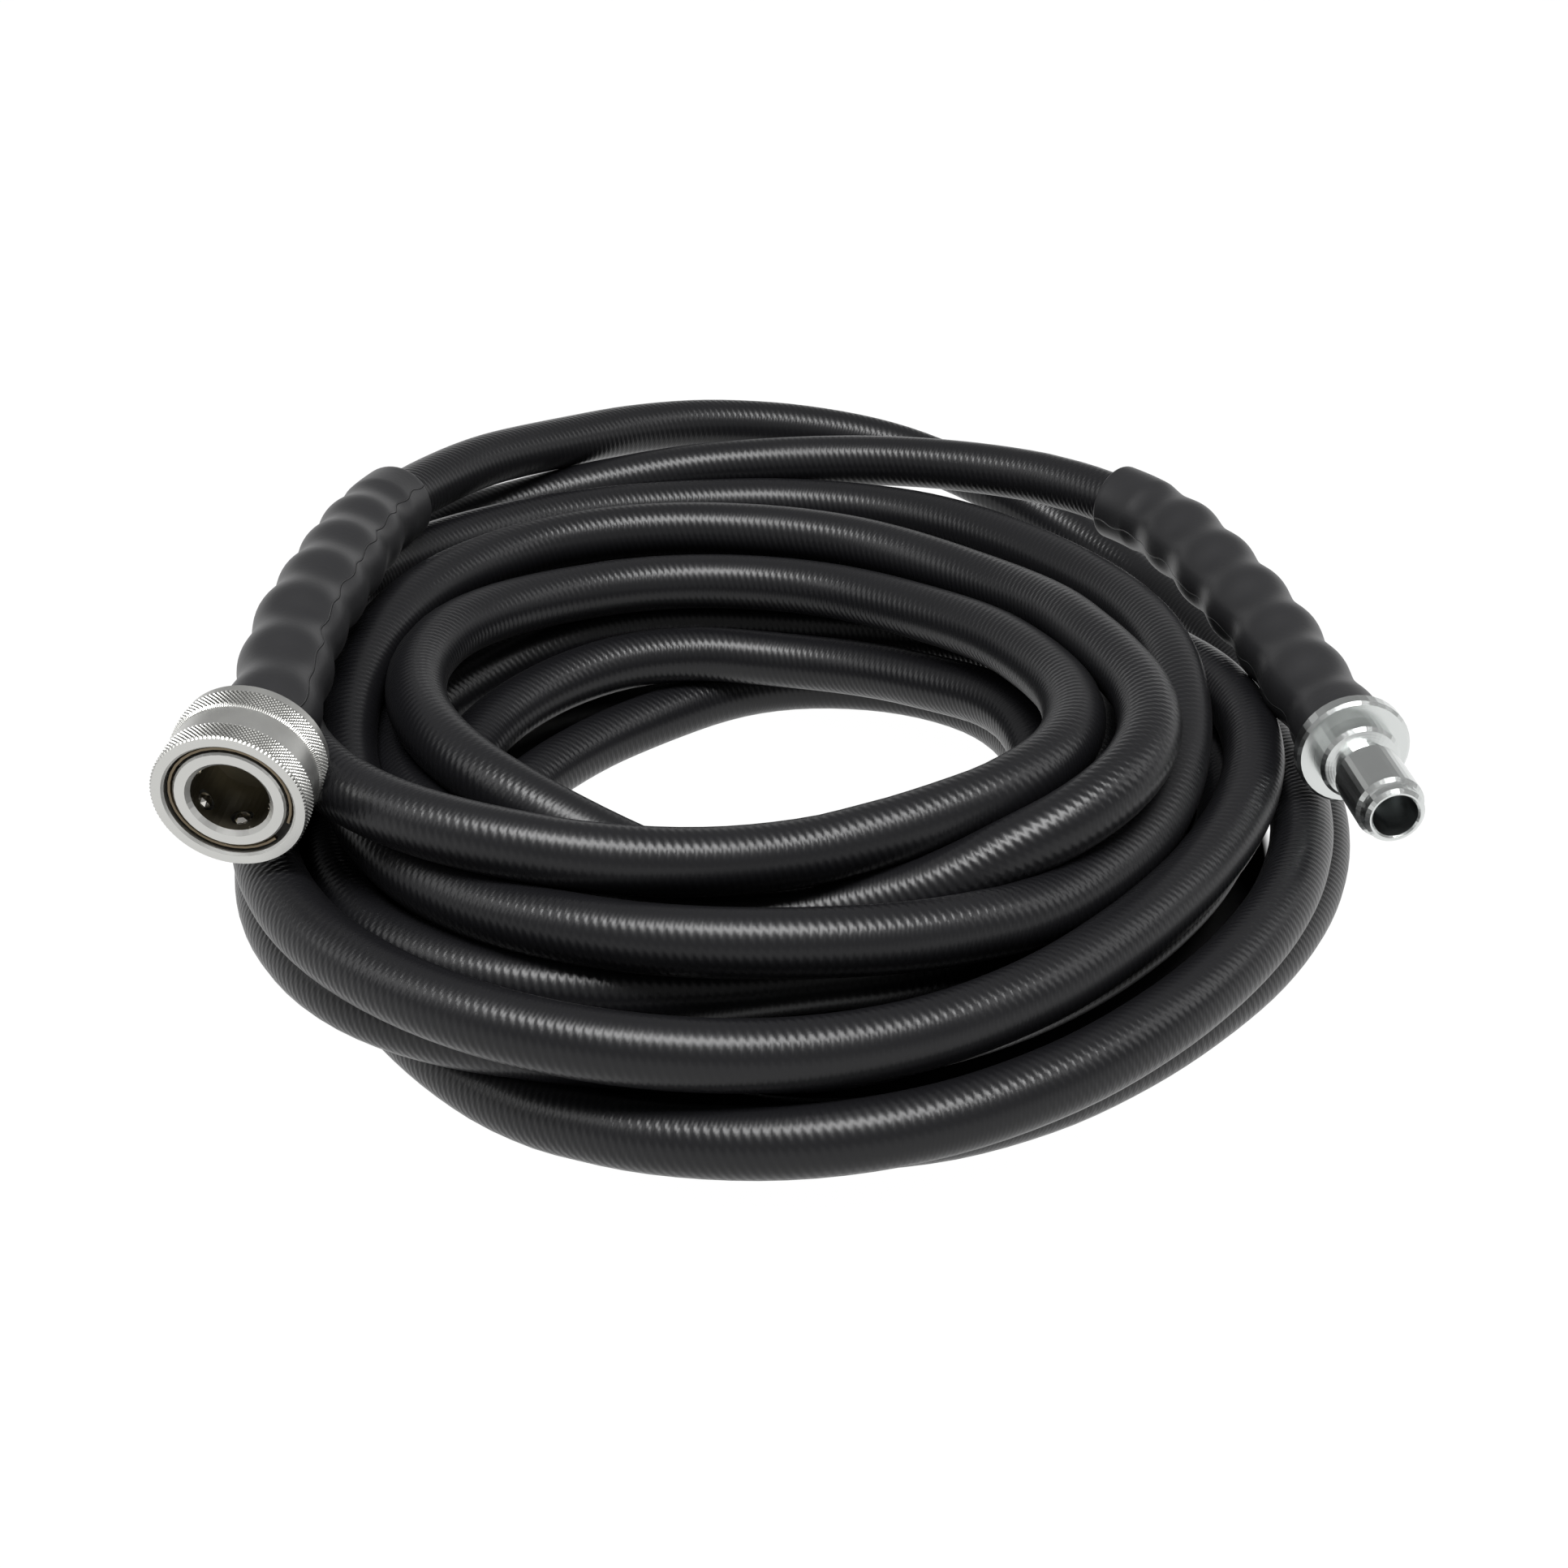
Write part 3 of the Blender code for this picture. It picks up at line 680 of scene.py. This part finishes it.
def add_grip(name, path, node, seam_at):
    """A ribbed grip around the hose's own line, open at both ends for the hose."""
    reach = round(GRIP_LINE_SHARE * GRIP_LENGTH / HOSE_DIAMETER / PATH_STEP)
    line = catmull(path[:reach], GRIP_LINE_POINTS)
    ease = np.linspace(0.0, math.pi / 2, GRIP_EDGE_RINGS + 1)[1:]
    rounded = GRIP_LENGTH - GRIP_EDGE * (1.0 - np.sin(ease))
    distances = np.concatenate([np.linspace(0.0, GRIP_LENGTH - GRIP_EDGE, GRIP_RINGS), rounded])
    outer = [grip_radius(distance) for distance in distances]
    back = distances[::-GRIP_BORE_EVERY]
    every = np.concatenate([distances, back, [0.0]])
    radii = np.array(outer + [GRIP_BORE / 2] * (len(back) + 1))
    across, upward = ring_frames(line)
    along = travelled(line)
    frames = []
    for directions in (across, upward):
        turned = np.stack([np.interp(every, along, directions[:, axis]) for axis in range(3)], axis=1)
        frames.append(turned / np.linalg.norm(turned, axis=1)[:, None])
    rings = tube_rings(points_at(line, every), radii, GRIP_SIDES, frames)
    grip = add_piece(name, ring_mesh(name, rings, every, True), grip_look(name, seam_at))
    grip.data.set_sharp_from_angle(angle=math.radians(GRIP_SHARP_DEG))
    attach(grip, "hose")
    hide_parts(node)
    return grip


def fitting_matrix(face, axis):
    """A fitting's own frame: its origin on its front face, and +Z out along its axis."""
    origin = coil_axis() + Vector(place(*face)) * HOSE_DIAMETER
    side = Vector((0, 0, 1)).cross(axis).normalized()
    up = axis.cross(side)
    return Matrix.Translation(origin) @ Matrix((side, up, axis)).transposed().to_4x4()


def knurl_heights(rows):
    """Heights of a diamond knurl over a band, from 0 in its grooves to 1 on its points."""
    across = np.arange(KNURLS_AROUND * KNURL_SAMPLES)[None, :] / KNURL_SAMPLES
    down = np.arange(rows)[:, None] / KNURL_SAMPLES
    return np.minimum(np.abs(np.sin(math.pi * (across + down))), np.abs(np.sin(math.pi * (across - down))))


def sleeve_rows():
    """The sleeve's outline as (radius, height, knurled), from its bore's rear around to its rear edge."""
    outer = SLEEVE_DIAMETER / 2
    bore = outer - SLEEVE_WALL
    waist = outer - SLEEVE_WAIST_DEPTH
    rim = outer - SLEEVE_RIM_STEP
    bevel = SLEEVE_BEVEL
    rear = SLEEVE_LENGTH
    front_end = bevel + SLEEVE_BAND
    rear_start = rear - SLEEVE_REAR_RIM - SLEEVE_BAND
    spacing = math.pi * SLEEVE_DIAMETER / KNURLS_AROUND / KNURL_SAMPLES
    count = round(SLEEVE_BAND / spacing)
    down = [SLEEVE_BAND * step / count for step in range(count + 1)]
    rows = [(bore, -rear, False), (bore, -bevel, False)]
    rows += [(bore + bevel, 0.0, False), (outer - bevel, 0.0, False)]
    rows += [(outer, -bevel - height, True) for height in down]
    rows += [(waist, -front_end - bevel, False), (waist, -rear_start + bevel, False)]
    rows += [(outer, -rear_start - height, True) for height in down]
    rows += [(rim, -rear + SLEEVE_REAR_RIM - bevel, False), (rim, -rear + bevel, False)]
    rows += [(rim - bevel, -rear, False)]
    return rows


def add_sleeve(look):
    """The coupler's sleeve with its two diamond-knurled bands, with painted shade down in the grooves."""
    rows = sleeve_rows()
    heights = knurl_heights(len(rows))
    cosines, sines = around(KNURLS_AROUND * KNURL_SAMPLES)
    rings = []
    grooves = []
    for index, (radius, height, knurled) in enumerate(rows):
        depth = 1.0 - heights[index] if knurled else np.zeros_like(cosines)
        reach = radius - KNURL_DEPTH * depth
        rings.append(np.stack([reach * cosines, reach * sines, np.full_like(cosines, height)], axis=1))
        grooves.append(depth)
    along = [height for _, height, _ in rows]
    mesh = ring_mesh("sleeve_knurled", np.array(rings)[::-1], along[::-1], True)
    mesh.set_sharp_from_angle(angle=math.radians(SLEEVE_SHARP_DEG))
    # The groove depth is kept on the mesh for the painted shade in the grooves
    groove = mesh.attributes.new("groove", "FLOAT", "POINT")
    groove.data.foreach_set("value", np.array(grooves)[::-1].ravel())
    sleeve = add_piece("sleeve_knurled", mesh, look)
    sleeve.matrix_world = fitting_matrix(COUPLER_PLACE, COUPLER_AXIS)
    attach(sleeve, "sleeve")
    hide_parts("coupler_sleeve")


def add_fittings():
    """Materials for the metal pieces, and the knurled sleeve."""
    coupler = fitting_matrix(COUPLER_PLACE, COUPLER_AXIS).translation
    plug = fitting_matrix(PLUG_PLACE, PLUG_AXIS).translation
    socket_from = -BODY_FACE_SETBACK - SOCKET_CHAMFER
    satin = metal_look("zinc_coupler", COUPLER_COLOUR, COUPLER_ROUGHNESS, coupler, COUPLER_AXIS,
                       SOCKET_DIAMETER, socket_from, SOCKET_OIL_AND_SHADE_COLOUR)
    bright = metal_look("zinc_plug", PLUG_COLOUR, PLUG_ROUGHNESS, plug, PLUG_AXIS,
                        PLUG_BORE, PAST_THE_PLUG, PLUG_BORE_SHADE_COLOUR)
    balls = new_look("ball_steel", BALL_COLOUR, BALL_ROUGHNESS, 1.0)
    wire = new_look("spring_wire", WIRE_COLOUR, WIRE_ROUGHNESS, 1.0)
    looks = {"coupler_body": satin, "quick_plug": bright, "coupler_snap_ring": wire}
    for name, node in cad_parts.items():
        if name.startswith("coupler_ball"):
            looks[name] = balls
        if name in looks:
            for slot in node.material_slots:
                slot.material = looks[name]
    add_sleeve(satin)


# Camera and studio

def add_camera():
    """The camera at the photograph's place and angle."""
    data = bpy.data.cameras.new("camera")
    data.sensor_width = SENSOR_WIDTH_MM
    data.lens = SENSOR_WIDTH_MM * PHOTO_FOCAL_PIXELS / PHOTO_WIDTH
    data.clip_start = CAMERA_CLIP_START
    camera = bpy.data.objects.new("camera", data)
    bpy.context.scene.collection.objects.link(camera)
    elevation = math.radians(CAMERA_ELEVATION_DEG)
    aim = coil_axis() + HOSE_DIAMETER * Vector(CAMERA_AIM)
    away = Vector((0.0, -math.cos(elevation), math.sin(elevation)))
    camera.location = aim + CAMERA_DISTANCE * away
    camera.rotation_euler = away.to_track_quat("Z", "Y").to_euler()
    bpy.context.scene.camera = camera


def add_light(name, place_at, size, power):
    """A rectangular softbox that faces the coil."""
    data = bpy.data.lights.new(name, "AREA")
    data.shape = "RECTANGLE"
    data.size, data.size_y = size
    data.energy = power
    light = bpy.data.objects.new(name, data)
    bpy.context.scene.collection.objects.link(light)
    light.location = place_at
    light.rotation_euler = Vector(place_at).to_track_quat("Z", "Y").to_euler()


def floor_look():
    """A floor lit through from below, white in the coil's opening and around it, with a painted shadow under
    its turns.
    """
    look = new_look("floor_white", FLOOR_COLOUR, FLOOR_ROUGHNESS)
    shader = shader_of(look)
    shader.inputs["Specular IOR Level"].default_value = 0.0
    shader.inputs["Emission Color"].default_value = WHITE
    out = turned_place(look, coil_axis(), (0.0, 0.0, 1.0))[1]
    middle = (FLOOR_SHADOW_FROM + FLOOR_SHADOW_TO) / 2
    half_width = (FLOOR_SHADOW_TO - FLOOR_SHADOW_FROM) / 2
    from_middle = maths(look, "ABSOLUTE", maths(look, "SUBTRACT", out, middle))
    # Painted shadow: the floor's glow fades out in a ring under the turns
    unshadowed_share = add_node(look, "ShaderNodeMapRange", interpolation_type="SMOOTHSTEP")
    feed(look, unshadowed_share.inputs["From Min"], half_width - FLOOR_SHADOW_EDGE)
    feed(look, unshadowed_share.inputs["From Max"], half_width)
    join(look, from_middle, unshadowed_share.inputs["Value"])
    join(look, unshadowed_share.outputs[0], shader.inputs["Emission Strength"])
    return look


def studio_world():
    """A bright band round the horizon under a dim room."""
    world = bpy.data.worlds.new("studio")
    world.use_nodes = True
    tree = world.node_tree
    where = tree.nodes.new("ShaderNodeTexCoord")
    parts = tree.nodes.new("ShaderNodeSeparateXYZ")
    band = tree.nodes.new("ShaderNodeMapRange")
    band.inputs["From Min"].default_value = BAND_TOP
    band.inputs["From Max"].default_value = ROOM_FROM
    band.inputs["To Min"].default_value = BAND_STRENGTH
    band.inputs["To Max"].default_value = ROOM_STRENGTH
    background = tree.nodes["Background"]
    background.inputs["Color"].default_value = WHITE
    tree.links.new(where.outputs["Generated"], parts.inputs[0])
    tree.links.new(parts.outputs[2], band.inputs["Value"])
    tree.links.new(band.outputs[0], background.inputs["Strength"])
    return world


def add_studio():
    """The white floor, and one long softbox above the front with a weaker one on each side."""
    bpy.ops.mesh.primitive_plane_add(size=FLOOR_SIZE, location=(0.0, 0.0, 0.0))
    floor = bpy.context.object
    floor.name = "floor"
    floor.data.materials.append(floor_look())
    for name, (place_at, size, power) in SOFTBOXES.items():
        add_light(name, place_at, size, power)
    bpy.context.scene.world = studio_world()
    bpy.context.scene.view_settings.view_transform = "Standard"


def add_soft_parts():
    """The hose with its grips, from the coupler to the plug."""
    path = hose_path()
    hose = add_hose(path)
    pieces = [
        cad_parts["coupler_body"],
        add_grip("grip_coupler_ribbed", path, "grip_coupler", COUPLER_SEAM),
        add_grip("grip_plug_ribbed", path[::-1], "grip_plug", PLUG_SEAM),
        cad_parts["quick_plug"],
    ]


add_camera()
add_soft_parts()
add_fittings()
add_studio()
